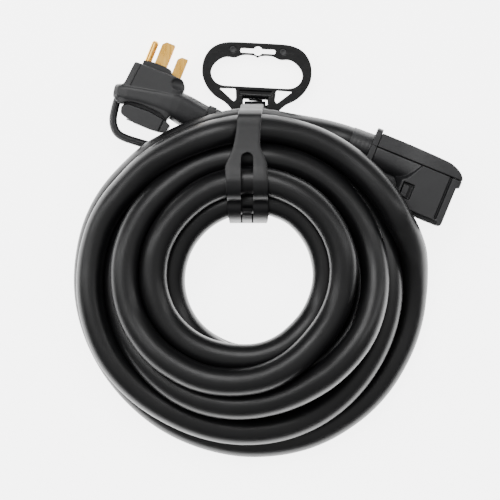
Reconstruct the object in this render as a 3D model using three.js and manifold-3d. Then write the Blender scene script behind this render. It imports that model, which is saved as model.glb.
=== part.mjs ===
// A 50 A shore power cord, coiled flat on its side: right-angle plug, right-angle connector, slotted rubber
// strap and oval carry handle. Millimetres, +Z up, +Y towards the carry handle; it rests on z = 0.
import * as THREE from 'three';
import { mergeVertices } from 'three/addons/utils/BufferGeometryUtils.js';
import Module from 'manifold-3d';

const wasm = await Module();
wasm.setup();

// Driving dimensions
const GAP = 0.3;
const CABLE_RADIUS = 14.2;

const COIL_CENTRE = [-18.7, -35.2];
const COIL_OUTER = 174.5;
const COIL_INNER = 64;
const COIL_TOP = 106;

const PLUG_ORIGIN = [-109.2, 182.9];
const PLUG_TURN = -22.0;
const PLUG_HEIGHT = 55;
const PLUG_MID = PLUG_HEIGHT / 2;

const CONNECTOR_ORIGIN = [106.9, 101.5];
const CONNECTOR_TURN = -22.4;
const CONNECTOR_HEIGHT = 54;
const CONNECTOR_MID = CONNECTOR_HEIGHT / 2;

const GROUND_PIN_RADIUS = 3.45;
const HOT_BLADE_WIDTH = 12.5;
const NEUTRAL_BLADE_WIDTH = 10.3;
const BLADE_THICKNESS = 2;
const HOT_SPACING = 12.7;
const CONDUCTOR_RADIUS = 3.8;
const CONDUCTOR_OFFSET = 6;
const CONDUCTOR_BORE = 10.6;
const CLAMP_RADIUS = 13;

const HANDLE_ORIGIN = [-14.7, 140.8];
const HANDLE_TURN = -3;
const HANDLE_DEPTH = 14;
const HUB_BAR_RADIUS = 3.6;
const STRAP_THICKNESS = 2.4;
const STRAP_ARC_RADIUS = 5.7;
const STRAP_TOP = COIL_TOP + 1 + STRAP_THICKNESS / 2;

// Materials
const material = (color, roughness, metalness = 0) => () => (
  new THREE.MeshStandardMaterial({ color, roughness, metalness })
);
const jacket = material(0x1b1b1c, 0.42);
const housing = material(0x161617, 0.5);
const faceBlack = material(0x0e0e0f, 0.6);
const glossBlack = material(0x0c0c0d, 0.25);
const strapRubber = material(0x222223, 0.48);
const brass = material(0xc79a4b, 0.28, 1);
const copper = material(0xb06a3a, 0.4, 1);
const steel = material(0x8d9094, 0.35, 1);

// Solids
function solid(geometry) {
  const bare = geometry.clone();
  bare.deleteAttribute('normal');
  bare.deleteAttribute('uv');
  const merged = mergeVertices(bare, 1e-4);
  return new wasm.Manifold(new wasm.Mesh({
    numProp: 3,
    vertProperties: Float32Array.from(merged.attributes.position.array),
    triVerts: Uint32Array.from(merged.index.array),
  }));
}

function geometryOf(manifold) {
  const { vertProperties, triVerts } = manifold.getMesh();
  const geometry = new THREE.BufferGeometry();
  geometry.setAttribute('position', new THREE.BufferAttribute(Float32Array.from(vertProperties), 3));
  geometry.setIndex(new THREE.BufferAttribute(Uint32Array.from(triVerts), 1));
  return geometry;
}

const join = (...pieces) => pieces.reduce((whole, piece) => whole.add(piece));
const cut = (whole, ...pieces) => pieces.reduce((rest, piece) => rest.subtract(piece), whole);

function named(name, shape, makeMaterial) {
  const geometry = shape.isBufferGeometry ? shape : geometryOf(shape);
  const mesh = new THREE.Mesh(geometry, makeMaterial());
  mesh.name = name;
  return mesh;
}

// An outline whose corners are [x, y, radius]; without a radius the corner is sharp.
function outline(corners, target = new THREE.Shape()) {
  corners.forEach(([x, y, radius = 0], i) => {
    const corner = new THREE.Vector2(x, y);
    const towards = (j) => {
      const [nextX, nextY] = corners[(j + corners.length) % corners.length];
      const edge = new THREE.Vector2(nextX, nextY).sub(corner);
      return edge.setLength(Math.min(radius, 0.45 * edge.length())).add(corner);
    };
    const before = towards(i - 1);
    if (i === 0) target.moveTo(before.x, before.y);
    else target.lineTo(before.x, before.y);
    if (radius > 0) {
      const after = towards(i + 1);
      target.quadraticCurveTo(x, y, after.x, after.y);
    }
  });
  return target;
}

// A plate from z = low to z = high, with its edges rounded by `round`.
function plate(shape, low, high, round = 0, steps = 2) {
  const geometry = new THREE.ExtrudeGeometry(shape, {
    depth: high - low - 2 * round,
    curveSegments: 3,
    bevelEnabled: round > 0,
    bevelThickness: round,
    bevelSize: round,
    bevelOffset: -round,
    bevelSegments: steps,
  });
  return solid(geometry.translate(0, 0, low + round));
}

function block([x0, x1], [y0, y1], [z0, z1]) {
  const geometry = new THREE.BoxGeometry(x1 - x0, y1 - y0, z1 - z0);
  return solid(geometry.translate((x0 + x1) / 2, (y0 + y1) / 2, (z0 + z1) / 2));
}

// A column along y whose outline is drawn in x and z.
const column = (shape, y0, y1) => plate(shape, -y1, -y0).rotate([90, 0, 0]);

// A round rod from one point to another, tapering where the two radii differ.
function rod(from, to, radius, endRadius = radius, sides = 20) {
  const start = new THREE.Vector3(...from);
  const way = new THREE.Vector3(...to).sub(start);
  const geometry = new THREE.CylinderGeometry(endRadius, radius, way.length(), sides);
  geometry.translate(0, way.length() / 2, 0);
  geometry.applyQuaternion(
    new THREE.Quaternion().setFromUnitVectors(new THREE.Vector3(0, 1, 0), way.normalize()),
  );
  return solid(geometry.translate(...from));
}

function polygon(radius, sides) {
  const corners = [];
  for (let i = 0; i < sides; i += 1) {
    const angle = (2 * Math.PI * i) / sides;
    corners.push([radius * Math.cos(angle), radius * Math.sin(angle)]);
  }
  return outline(corners);
}

function tube(points, radius, sides, steps) {
  const path = new THREE.CatmullRomCurve3(points.map((point) => new THREE.Vector3(...point)));
  return solid(new THREE.ExtrudeGeometry(polygon(radius, sides), { extrudePath: path, steps }));
}

// A ring along x round the point y, z.
function ring(x0, x1, y, z, outer, inner) {
  return cut(rod([x0, y, z], [x1, y, z], outer), rod([x0 - 1, y, z], [x1 + 1, y, z], inner));
}

function turned(group, [x, y], degrees, pieces) {
  const part = new THREE.Group();
  part.position.set(x, y, 0);
  part.rotation.z = THREE.MathUtils.degToRad(degrees);
  part.add(...pieces);
  group.add(part);
}

// Moves a solid from a turned group's own frame into the whole part's frame.
function toPart(shape, [x, y], degrees) {
  return shape.rotate([0, 0, degrees]).translate([x, y, 0]);
}

// Plug: x runs along the neck towards the cable, y out of the face.
const PLUG_FACE_Y = -8.7;
const PLUG_NECK_START = [18, -31.2, PLUG_MID];
const PLUG_NECK_END = [58.6, -35.2, PLUG_MID];
const PLUG_COLLAR = { start: 60.5, end: 68.5, y: -35.6, half: 17 };
const PLUG_BLADE_X = { ground: -13.4, hot: 0, neutral: 18.4 };
const PLUG_TERMINAL_Y = -16;

function plugBody() {
  const profile = plate(outline([
    [-24.8, -6.2, 3], [26.2, -5.4, 2], [31.2, -11.5, 3], [31.2, -30, 4], [26.7, -48.4, 2], [17.6, -44.8, 3],
    [1, -43.9, 3], [-9.5, -44.4, 3], [-17.3, -46.5, 2], [-23.3, -51.4, 2], [-31.1, -48.3, 2],
    [-29.5, -33.6, 3], [-26.8, -29.8, 3],
  ]), 0, PLUG_HEIGHT, 0.9, 1);
  const head = profile.intersect(column(outline([
    [-32, 0, 11], [32, 0, 11], [32, PLUG_HEIGHT, 11], [-32, PLUG_HEIGHT, 11],
  ]), -60, 0));
  const neck = rod(PLUG_NECK_START, PLUG_NECK_END, 15.8, 15.2);
  const cavity = block([-19, 25], [-41.6, -8], [PLUG_MID - 19, PLUG_MID + 19]);
  const recess = block([-17.5, 24.7], [-9, 2], [PLUG_MID - 22.3, PLUG_MID + 22.3]);
  const bore = rod(PLUG_NECK_START, [PLUG_NECK_END[0] + 1, PLUG_NECK_END[1], PLUG_MID], CONDUCTOR_BORE);
  return cut(join(head, neck), cavity, recess, bore);
}

function plugFace() {
  const face = plate(outline([
    [-17.2, PLUG_FACE_Y], [-17.2, -1.8, 1], [-12, -0.6, 1], [-5.5, 0], [5.5, 0], [11.8, -0.9, 1], [13.8, -4.4, 1],
    [24.4, -6], [24.4, PLUG_FACE_Y],
  ]), PLUG_MID - 22, PLUG_MID + 22);
  const slot = (x, width, z) => block(
    [x - width / 2 - GAP, x + width / 2 + GAP],
    [-20, 5],
    [z - BLADE_THICKNESS / 2 - GAP, z + BLADE_THICKNESS / 2 + GAP],
  );
  return cut(
    face,
    rod([PLUG_BLADE_X.ground, -20, PLUG_MID], [PLUG_BLADE_X.ground, 5, PLUG_MID], GROUND_PIN_RADIUS + GAP),
    slot(PLUG_BLADE_X.hot, HOT_BLADE_WIDTH, PLUG_MID + HOT_SPACING),
    slot(PLUG_BLADE_X.hot, HOT_BLADE_WIDTH, PLUG_MID - HOT_SPACING),
    slot(PLUG_BLADE_X.neutral, NEUTRAL_BLADE_WIDTH, PLUG_MID),
  );
}

function blade(x, width, tip, z) {
  const half = width / 2;
  const shape = outline([
    [x - half, PLUG_TERMINAL_Y], [x + half, PLUG_TERMINAL_Y], [x + half, tip, 1], [x - half + 3.4, tip, 1],
    [x - half, tip - 3.4, 1],
  ]);
  return plate(shape, z - BLADE_THICKNESS / 2, z + BLADE_THICKNESS / 2);
}

function groundPin() {
  const profile = [
    [0, PLUG_TERMINAL_Y], [GROUND_PIN_RADIUS, PLUG_TERMINAL_Y], [GROUND_PIN_RADIUS, 18.4], [2.9, 20],
    [1.7, 20.9], [0, 21.2],
  ].map(([radius, y]) => new THREE.Vector2(radius, y));
  return solid(new THREE.LatheGeometry(profile, 16).translate(PLUG_BLADE_X.ground, 0, PLUG_MID));
}

function plugBackCover() {
  const slab = plate(outline([
    [-21.2, -52.9, 2], [-15.3, -48.6, 2], [8, -47.6, 2], [26.3, -50.2], [31.4, -52.4, 1], [30, -60.4, 1],
    [24.9, -62.8, 2], [14.5, -63.8, 2], [-3.9, -63.7, 2], [-18.8, -60, 2],
  ]), 4, PLUG_HEIGHT - 4, 0.5, 1);
  return cut(slab, ...Object.values(PLUG_SCREWS).map(([x, z]) => rod([x, -70, z], [x, -61.2, z], 3.6)));
}

// The cover screws, one near each end of the slab, seen as slotted heads sunk in its back.
const PLUG_SCREWS = { a: [-9, PLUG_MID], b: [18, PLUG_MID] };

function plugScrew([x, z]) {
  return cut(
    rod([x, -63.4, z], [x, -61.5, z], 3.1, 3.1, 12),
    block([x - 2.4, x + 2.4], [-64, -62.5], [z - 0.5, z + 0.5]),
  );
}

function pullHandle() {
  return tube([
    [-27, -52.6, PLUG_MID], [-26.2, -60, PLUG_MID], [-24, -69, PLUG_MID], [-18, -77.5, PLUG_MID],
    [-8, -80.6, PLUG_MID], [12, -79.6, PLUG_MID], [32, -77, PLUG_MID], [47, -73.5, PLUG_MID],
    [54.5, -66, PLUG_MID], [56, -58, PLUG_MID], [56, -51.2, PLUG_MID],
  ], 4, 10, 26);
}

// A square collar with round corners and a bore for the clamp, lying across the cable.
function collar({ start, end, y, half }, z, round) {
  const square = outline([
    [-half, -half, round], [half, -half, round], [half, half, round], [-half, half, round],
  ]);
  const body = plate(square, 0, end - start, 0.8, 1);
  const across = body.rotate([90, 0, 90]).translate([start, y, z]);
  return cut(across, rod([start - 1, y, z], [end + 1, y, z], CLAMP_RADIUS + GAP));
}

// Insulated wires from the terminals to the cable's end, where they lie in a diamond. `inward` is the way
// from the cable's end into the housing along x.
function conductors(prefix, wires, [cableX, cableY, cableZ], inward) {
  return Object.entries(wires).map(([wire, { route, side, lift }]) => {
    const y = cableY + side * CONDUCTOR_OFFSET;
    const z = cableZ + lift * CONDUCTOR_OFFSET;
    const points = [...route, [cableX + 8 * inward, y, z], [cableX, y, z]];
    const [pole, letter] = wire.split('_');
    const name = [prefix, pole, 'conductor', letter].filter(Boolean).join('_');
    return named(name, tube(points, CONDUCTOR_RADIUS, 8, 10), copper);
  });
}

function plugPieces() {
  const { ground, hot, neutral } = PLUG_BLADE_X;
  const back = PLUG_TERMINAL_Y - 2 * GAP;
  const z = PLUG_MID;
  const hotRoute = (way) => [
    [hot, back, z + way * HOT_SPACING], [hot, -21.5, z + way * HOT_SPACING], [8, -28.5, z + way * 10],
    [22, -31.6, z + way * 6.2], [40, -33.4, z + way * CONDUCTOR_OFFSET],
  ];
  const wires = {
    ground: {
      route: [[ground, back, z], [ground, -22, z], [-8, -31, z], [6, -36, z], [22, -37.4, z], [40, -39.2, z]],
      side: -1,
      lift: 0,
    },
    hot_a: { route: hotRoute(1), side: 0, lift: 1 },
    hot_b: { route: hotRoute(-1), side: 0, lift: -1 },
    neutral: {
      route: [[17.4, back, z], [17.4, -20.4, z], [20.6, -24.6, z], [28, -26.2, z], [40, -27.4, z]],
      side: 1,
      lift: 0,
    },
  };
  const { start, end, y } = PLUG_COLLAR;
  return [
    named('plug_body', plugBody(), housing),
    named('plug_face_insert', plugFace(), faceBlack),
    named('plug_ground_pin', groundPin(), brass),
    named('plug_hot_blade_a', blade(hot, HOT_BLADE_WIDTH, 23.7, PLUG_MID + HOT_SPACING), brass),
    named('plug_hot_blade_b', blade(hot, HOT_BLADE_WIDTH, 23.7, PLUG_MID - HOT_SPACING), brass),
    named('plug_neutral_blade', blade(neutral, NEUTRAL_BLADE_WIDTH, 15.5, PLUG_MID), brass),
    named('plug_back_cover', plugBackCover(), housing),
    named('plug_cover_screw_a', plugScrew(PLUG_SCREWS.a), steel),
    named('plug_cover_screw_b', plugScrew(PLUG_SCREWS.b), steel),
    named('plug_pull_handle', pullHandle(), housing),
    named('plug_collar', collar(PLUG_COLLAR, PLUG_MID, 4), housing),
    named('plug_cable_clamp', ring(start + GAP, end - GAP, y, PLUG_MID, CLAMP_RADIUS, CONDUCTOR_BORE), steel),
    ...conductors('plug', wires, [end, y, z], -1),
  ];
}

// Connector: x runs along the neck away from the cable, y out of the back cover.
const CONNECTOR_AXIS_Y = -4.8;
const CONNECTOR_COLLAR = { start: -5, end: 0.7, y: CONNECTOR_AXIS_Y, half: 23 };
const CONNECTOR_NECK = { start: 1, end: 34, radius: 19.3 };
const CONTACT_X = { neutral: 44.3, hot: 63, ground: 76.4 };
const CONTACT_FRONT = -39.7;
const CONTACT_BACK = -20;

function connectorShell() {
  const { start, end, radius } = CONNECTOR_NECK;
  const profile = plate(outline([
    [31, 14.7, 2], [80, 11.7, 3], [88, 7.6, 3], [92.3, 3, 2], [92.5, -7.8], [89.4, -8], [89.4, -48.2, 2],
    [84, -50.4, 2], [61, -50.4, 2], [53, -46.6, 3], [35, -46.6, 4], [33.5, -26, 3], [31, -22, 2],
  ]), 0, CONNECTOR_HEIGHT, 0.9, 1);
  const head = profile.intersect(column(outline([
    [25, 0, 6], [93, 0, 6], [93, CONNECTOR_HEIGHT, 6], [25, CONNECTOR_HEIGHT, 6],
  ]), -60, 20));
  const neck = rod([start, CONNECTOR_AXIS_Y, CONNECTOR_MID], [end, CONNECTOR_AXIS_Y, CONNECTOR_MID], radius);
  const shoulders = block([start, end], [CONNECTOR_AXIS_Y - 2, 14.5], [CONNECTOR_MID - 19, CONNECTOR_MID + 19]);
  const cavity = block([36.5, 86], [-39.4, 10.5], [5, CONNECTOR_HEIGHT - 5]);
  const mouth = block([37.5, 85], [-60, -38], [6, CONNECTOR_HEIGHT - 6]);
  const bore = rod([0, CONNECTOR_AXIS_Y, CONNECTOR_MID], [38, CONNECTOR_AXIS_Y, CONNECTOR_MID], CONDUCTOR_BORE);
  return cut(join(head, neck, shoulders), cavity, mouth, bore);
}

const LATCH_FRAME = [[39, 50], [-37, -22], [CONNECTOR_HEIGHT - 1.6, CONNECTOR_HEIGHT + 2]];

function connectorBody() {
  const screwHoles = Object.values(CONNECTOR_SCREWS).map(([x, z]) => rod([x, 12.2, z], [x, 20, z], 3.6));
  const above = block([-10, 100], [-GAP / 2, 40], [-5, CONNECTOR_HEIGHT + 5]);
  return {
    body: cut(connectorShell(), above, block(...LATCH_FRAME)),
    cover: cut(
      connectorShell(),
      block([-10, 100], [-80, GAP / 2], [-5, CONNECTOR_HEIGHT + 5]),
      ...screwHoles,
    ),
  };
}

const CONNECTOR_SCREWS = { a: [42, CONNECTOR_MID], b: [60, CONNECTOR_MID] };

function connectorScrew([x, z]) {
  return cut(
    rod([x, 12.5, z], [x, 13.7, z], 3.1, 3.1, 12),
    block([x - 2.4, x + 2.4], [13.1, 15], [z - 0.5, z + 0.5]),
  );
}

function connectorFace() {
  const slot = (x, width, z) => block([x - width / 2, x + width / 2], [-60, -30], [z - 1.6, z + 1.6]);
  return cut(
    block([37.8, 84.7], [-48.6, CONTACT_FRONT - GAP], [6.3, CONNECTOR_HEIGHT - 6.3]),
    slot(CONTACT_X.hot, HOT_BLADE_WIDTH + 1, CONNECTOR_MID + HOT_SPACING),
    slot(CONTACT_X.hot, HOT_BLADE_WIDTH + 1, CONNECTOR_MID - HOT_SPACING),
    slot(CONTACT_X.neutral, NEUTRAL_BLADE_WIDTH + 1, CONNECTOR_MID),
    rod([CONTACT_X.ground, -60, CONNECTOR_MID], [CONTACT_X.ground, -30, CONNECTOR_MID], GROUND_PIN_RADIUS + 0.5),
  );
}

// A spring contact that grips one blade, open towards the face.
function contact(x, width, z) {
  return cut(
    block([x - width / 2 - 1.2, x + width / 2 + 1.2], [CONTACT_FRONT, CONTACT_BACK], [z - 3, z + 3]),
    block([x - width / 2, x + width / 2], [CONTACT_FRONT - 1, CONTACT_BACK - 2], [z - 1.2, z + 1.2]),
  );
}

function groundContact() {
  const { ground } = CONTACT_X;
  return cut(
    rod([ground, CONTACT_FRONT, CONNECTOR_MID], [ground, CONTACT_BACK, CONNECTOR_MID], 5),
    rod([ground, CONTACT_FRONT - 1, CONNECTOR_MID], [ground, CONTACT_BACK - 2, CONNECTOR_MID], 3.6),
  );
}

function connectorPieces() {
  const { body, cover } = connectorBody();
  const { start, end, y } = CONNECTOR_COLLAR;
  const back = CONTACT_BACK + 2 * GAP;
  const z = CONNECTOR_MID;
  const { ground, hot, neutral } = CONTACT_X;
  const hotRoute = (way) => [
    [hot, back, z + way * HOT_SPACING], [hot, -14.5, z + way * HOT_SPACING], [56, -7.5, z + way * 10],
    [42, y, z + way * 6.3], [22, y, z + way * CONDUCTOR_OFFSET],
  ];
  const wires = {
    ground: {
      route: [[ground, back, z], [ground, -12, z], [70, -3, z], [56, 1.4, z], [40, 1.3, z], [22, 1.2, z]],
      side: 1,
      lift: 0,
    },
    hot_a: { route: hotRoute(1), side: 0, lift: 1 },
    hot_b: { route: hotRoute(-1), side: 0, lift: -1 },
    neutral: {
      route: [[neutral, back, z], [neutral, -15.5, z], [40, -11.6, z], [32, -10.8, z], [22, -10.8, z]],
      side: -1,
      lift: 0,
    },
  };
  const hotWidth = HOT_BLADE_WIDTH + 0.6;
  const neutralWidth = NEUTRAL_BLADE_WIDTH + 0.6;
  return [
    named('connector_body', body, housing),
    named('connector_cover', cover, housing),
    named('connector_face_insert', connectorFace(), faceBlack),
    named('connector_latch', block([39.3, 46], [-36.7, -24], [CONNECTOR_HEIGHT - 1.3, CONNECTOR_HEIGHT + 0.6]),
      housing),
    named('connector_cover_screw_a', connectorScrew(CONNECTOR_SCREWS.a), steel),
    named('connector_cover_screw_b', connectorScrew(CONNECTOR_SCREWS.b), steel),
    named('connector_collar', collar(CONNECTOR_COLLAR, z, 6), housing),
    named('connector_cable_clamp', ring(start + GAP, end - GAP, y, z, CLAMP_RADIUS, CONDUCTOR_BORE), steel),
    named('connector_ground_contact', groundContact(), brass),
    named('connector_hot_contact_a', contact(hot, hotWidth, z + HOT_SPACING), brass),
    named('connector_hot_contact_b', contact(hot, hotWidth, z - HOT_SPACING), brass),
    named('connector_neutral_contact', contact(neutral, neutralWidth, z), brass),
    ...conductors('connector', wires, [start, y, z], 1),
  ];
}

// Carry handle: x along its hub bar, y towards the grip, z = 0 at the floor.
const HANDLE_HALF_OUTLINE = [
  [30, 65, 4], [42, 62, 5], [51, 53, 5], [55.4, 38, 6], [53.2, 26, 5], [46.3, 15, 4], [38.5, 8.3, 3],
  [31, 4.6, 3], [25, -0.8, 2], [21, -5],
];
const GRIP_HALF_OPENING = [
  [10, 53, 2], [18, 51.4, 2], [24, 49.3, 2], [33, 49.8, 3], [42, 43.5, 5], [46.4, 33, 5], [43.5, 25, 4],
  [34, 20.8, 3],
];

const mirrored = (half) => [...half, ...half.map(([x, y, radius]) => [-x, y, radius]).reverse()];

function carryHandle() {
  const shape = outline(mirrored(HANDLE_HALF_OUTLINE));
  const body = plate(shape, 0, HANDLE_DEPTH, 1.5, 1);
  const through = (corners) => plate(outline(corners), -2, HANDLE_DEPTH + 2);
  const gusset = [[35.5, 17.6, 1], [20, 17.9, 1], [20, 8.6, 1], [22.6, 6.4, 1]];
  const barTop = block([-12, 12], [-7, 6.6], [-1, HANDLE_DEPTH + 1]);
  const bar = rod([-14, 0, HANDLE_DEPTH / 2], [14, 0, HANDLE_DEPTH / 2], HUB_BAR_RADIUS);
  const slot = block([-12, 12], [-7, 9.2], [-1, HANDLE_DEPTH + 1]);
  const relief = rod([-13, 9.2, HANDLE_DEPTH + 1], [13, 9.2, HANDLE_DEPTH + 1], 3.2);
  const rivetHoles = [-25.3, 25.3].map((x) => rod([x, 57.6, -2], [x, 57.6, HANDLE_DEPTH + 2], 3.3));
  return join(
    cut(
      body,
      through(mirrored(GRIP_HALF_OPENING)),
      through(gusset),
      through(gusset.map(([x, y, radius]) => [-x, y, radius]).reverse()),
      through([[17, 54.6, 1], [17, 59.6, 1], [-17, 59.6, 1], [-17, 54.6, 1]]),
      barTop,
      slot,
      relief,
      ...rivetHoles,
    ),
    bar,
  );
}

const rivet = (x) => join(
  rod([x, 57.6, 1], [x, 57.6, HANDLE_DEPTH - 1], 3, 3, 14),
  rod([x, 57.6, HANDLE_DEPTH - 2.2], [x, 57.6, HANDLE_DEPTH - 1], 3, 2.4, 14),
);

function handlePieces() {
  return [
    named('carry_handle', carryHandle(), glossBlack),
    named('handle_rivet_left', rivet(-25.3), steel),
    named('handle_rivet_right', rivet(25.3), steel),
  ];
}

// Strap: a band round the bar and the coil, drawn in the plane across the coil and trimmed in plan.
function strapLoop() {
  const [, barY] = HANDLE_ORIGIN;
  const barZ = HANDLE_DEPTH / 2;
  const half = STRAP_THICKNESS / 2;
  const loop = [[27, half], [barY - 8, half]];
  for (let degrees = -90; degrees <= 105; degrees += 19.5) {
    const angle = THREE.MathUtils.degToRad(degrees);
    loop.push([
      barY + STRAP_ARC_RADIUS * Math.cos(angle),
      barZ + STRAP_ARC_RADIUS * Math.sin(angle),
    ]);
  }
  loop.push(
    [136.2, 20], [134.4, 30], [134.4, STRAP_TOP - 13], [133, STRAP_TOP - 6.5], [127, STRAP_TOP - 1.6], [120, STRAP_TOP],
    [40, STRAP_TOP], [33, STRAP_TOP - 2], [27.5, STRAP_TOP - 8], [25.7, STRAP_TOP - 18], [25.7, 10], [25.9, 3],
  );
  return offsetBand(loop, half);
}

// The closed line widened by `half` to each side.
function offsetBand(line, half) {
  const side = (distance) => line.map(([x, y], i) => {
    const [beforeX, beforeY] = line[(i + line.length - 1) % line.length];
    const [afterX, afterY] = line[(i + 1) % line.length];
    const incoming = new THREE.Vector2(x - beforeX, y - beforeY).normalize();
    const outgoing = new THREE.Vector2(afterX - x, afterY - y).normalize();
    const normal = new THREE.Vector2(incoming.y + outgoing.y, -incoming.x - outgoing.x).normalize();
    const stretch = distance / Math.max(0.5, normal.dot(new THREE.Vector2(incoming.y, -incoming.x)));
    return [x + normal.x * stretch, y + normal.y * stretch];
  });
  const shape = outline(side(half));
  shape.holes.push(outline(side(-half).reverse(), new THREE.Path()));
  return shape;
}

const STRAP_SLOT = { x: -22.6, half: 6, far: 94.8, near: 24 };

function strap() {
  const band = plate(strapLoop(), -60, 60).rotate([90, 0, 90]);
  const plan = plate(outline([
    [-4.4, 160], [-4.4, 135], [-7.4, 128], [-9.4, 100, 6], [-2.4, 80, 8], [-1.2, 20], [-42.4, 20],
    [-44.6, 80, 8], [-36.8, 100, 6], [-32.6, 128], [-25.4, 135], [-25.4, 160],
  ]), -5, STRAP_TOP + 10);
  const { x, half, far, near } = STRAP_SLOT;
  const slot = block([x - half, x + half], [near, far - half], [40, STRAP_TOP + 10]);
  const slotEnd = rod([x, far - half, 40], [x, far - half, STRAP_TOP + 10], half);
  const tongueSpace = block([-60, 60], [0, 32], [-5, STRAP_TOP - 22]);
  return cut(band.intersect(plan), slot.subtract(tongueSpace), slotEnd);
}

// Coil: one ring of the wound cable's outer shape, with room for the plug, the connector and the strap.
function coilRing() {
  const profile = [
    [COIL_INNER + 10, 0], [COIL_OUTER - 10, 0], [COIL_OUTER - 2, 6], [COIL_OUTER, 16],
    [COIL_OUTER, COIL_TOP - 33], [COIL_OUTER - 4, COIL_TOP - 19], [COIL_OUTER - 16, COIL_TOP - 5],
    [COIL_OUTER - 30, COIL_TOP], [COIL_INNER + 26, COIL_TOP], [COIL_INNER + 10, COIL_TOP - 9],
    [COIL_INNER + 1, COIL_TOP - 25], [COIL_INNER, COIL_TOP - 39], [COIL_INNER, 14], [COIL_INNER + 3, 5],
    [COIL_INNER + 10, 0],
  ].map(([radius, z]) => new THREE.Vector2(radius, z));
  const lathe = new THREE.LatheGeometry(profile, 56).rotateX(Math.PI / 2).translate(...COIL_CENTRE, 0);
  return solid(lathe);
}

const PLUG_BAY = { x: [16, 108], y: [-86, -8], top: 48 };
const CONNECTOR_BAY = { x: [-42, 100], y: [-60, 20], top: 56 };

function coil() {
  const { x: plugX, y: plugY, top: plugTop } = PLUG_BAY;
  const { x: connectorX, y: connectorY, top: connectorTop } = CONNECTOR_BAY;
  const plugBay = toPart(block(plugX, plugY, [-1, plugTop]), PLUG_ORIGIN, PLUG_TURN);
  const plugHead = toPart(block([-40, 34], [-90, 0], [-1, COIL_TOP + 1]), PLUG_ORIGIN, PLUG_TURN);
  const connectorBay = toPart(block(connectorX, connectorY, [-1, connectorTop]), CONNECTOR_ORIGIN, CONNECTOR_TURN);
  const strapBay = block([-48, 18], [130.8, 190], [-1, COIL_TOP + 1]);
  const strapInside = block([-47, 2], [10, 30.5], [-1, COIL_TOP + 1]);
  const strapPass = block([-47, 2], [10, 190], [-1, STRAP_THICKNESS + 0.8]);
  return cut(coilRing(), plugBay, plugHead, connectorBay, strapBay, strapInside, strapPass);
}

function cablePieces() {
  const plugEnd = PLUG_BAY.x[1] - GAP;
  const { end: plugStart, y: plugY } = PLUG_COLLAR;
  const plugTail = rod(
    [plugStart + GAP, plugY, PLUG_MID], [plugEnd, plugY, PLUG_MID], CABLE_RADIUS, CABLE_RADIUS, 12,
  );
  const { start: connectorStart, y: connectorY } = CONNECTOR_COLLAR;
  const connectorTail = rod(
    [connectorStart - GAP, connectorY, CONNECTOR_MID],
    [CONNECTOR_BAY.x[0] + GAP, connectorY, CONNECTOR_MID],
    CABLE_RADIUS, CABLE_RADIUS, 12,
  );
  return [
    named('cable_coil', coil(), jacket),
    named('cable_plug_tail', toPart(plugTail, PLUG_ORIGIN, PLUG_TURN), jacket),
    named('cable_connector_tail', toPart(connectorTail, CONNECTOR_ORIGIN, CONNECTOR_TURN), jacket),
  ];
}

const cord = new THREE.Group();
cord.add(...cablePieces(), named('strap', strap(), strapRubber));
turned(cord, PLUG_ORIGIN, PLUG_TURN, plugPieces());
turned(cord, CONNECTOR_ORIGIN, CONNECTOR_TURN, connectorPieces());
turned(cord, HANDLE_ORIGIN, HANDLE_TURN, handlePieces());

export default cord;
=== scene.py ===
"""A coiled shore power cord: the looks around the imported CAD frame.

Metres in the part's frame, +Z up and +Y towards the handle. Single pieces are drawn in millimetres, in the frame
of their own end of the cord, and are then placed.
"""
import math

import bmesh
import bpy
import numpy as np
from mathutils import Matrix, Vector


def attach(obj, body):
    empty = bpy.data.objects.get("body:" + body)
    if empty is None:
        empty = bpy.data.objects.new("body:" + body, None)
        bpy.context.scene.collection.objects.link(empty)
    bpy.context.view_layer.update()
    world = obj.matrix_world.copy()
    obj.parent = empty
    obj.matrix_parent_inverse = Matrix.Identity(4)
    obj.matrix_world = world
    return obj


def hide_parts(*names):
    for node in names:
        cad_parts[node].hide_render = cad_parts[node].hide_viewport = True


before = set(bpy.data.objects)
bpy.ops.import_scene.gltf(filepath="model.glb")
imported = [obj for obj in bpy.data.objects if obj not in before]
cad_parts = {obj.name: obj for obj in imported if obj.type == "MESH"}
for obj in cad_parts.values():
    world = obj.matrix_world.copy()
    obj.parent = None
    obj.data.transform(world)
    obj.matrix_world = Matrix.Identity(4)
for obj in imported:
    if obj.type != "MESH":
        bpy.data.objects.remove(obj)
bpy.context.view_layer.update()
SCENE = bpy.context.scene

# Driving sizes, as in the CAD source.
CABLE_RADIUS = 0.0142
CABLE_DIAMETER = 2 * CABLE_RADIUS
COIL_CENTRE = np.array([-0.0187, -0.0352])
PLUG_FRAME = Matrix.Translation((-0.1092, 0.1829, 0)) @ Matrix.Rotation(math.radians(-22.0), 4, "Z")
PLUG_MID = 0.0275
CONNECTOR_FRAME = Matrix.Translation((0.1069, 0.1015, 0)) @ Matrix.Rotation(math.radians(-22.4), 4, "Z")
CONNECTOR_MID = 0.027
HANDLE_FRAME = Matrix.Translation((-0.0147, 0.1408, 0)) @ Matrix.Rotation(math.radians(-3.0), 4, "Z")

# Camera: straight above, far away, so that the coil shows in plan with almost no perspective.
FIELD = 0.5
SENSOR_WIDTH = 36
CAMERA_DISTANCE = 6.0
CAMERA_AIM = (-0.0197, -0.0022, 0.05)


def add_camera():
    camera = bpy.data.objects.new("camera", bpy.data.cameras.new("camera"))
    SCENE.collection.objects.link(camera)
    camera.location = (CAMERA_AIM[0], CAMERA_AIM[1], CAMERA_AIM[2] + CAMERA_DISTANCE)
    camera.data.sensor_width = SENSOR_WIDTH
    camera.data.lens = SENSOR_WIDTH * CAMERA_DISTANCE / FIELD
    camera.data.clip_end = 50
    SCENE.camera = camera


add_camera()


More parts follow.
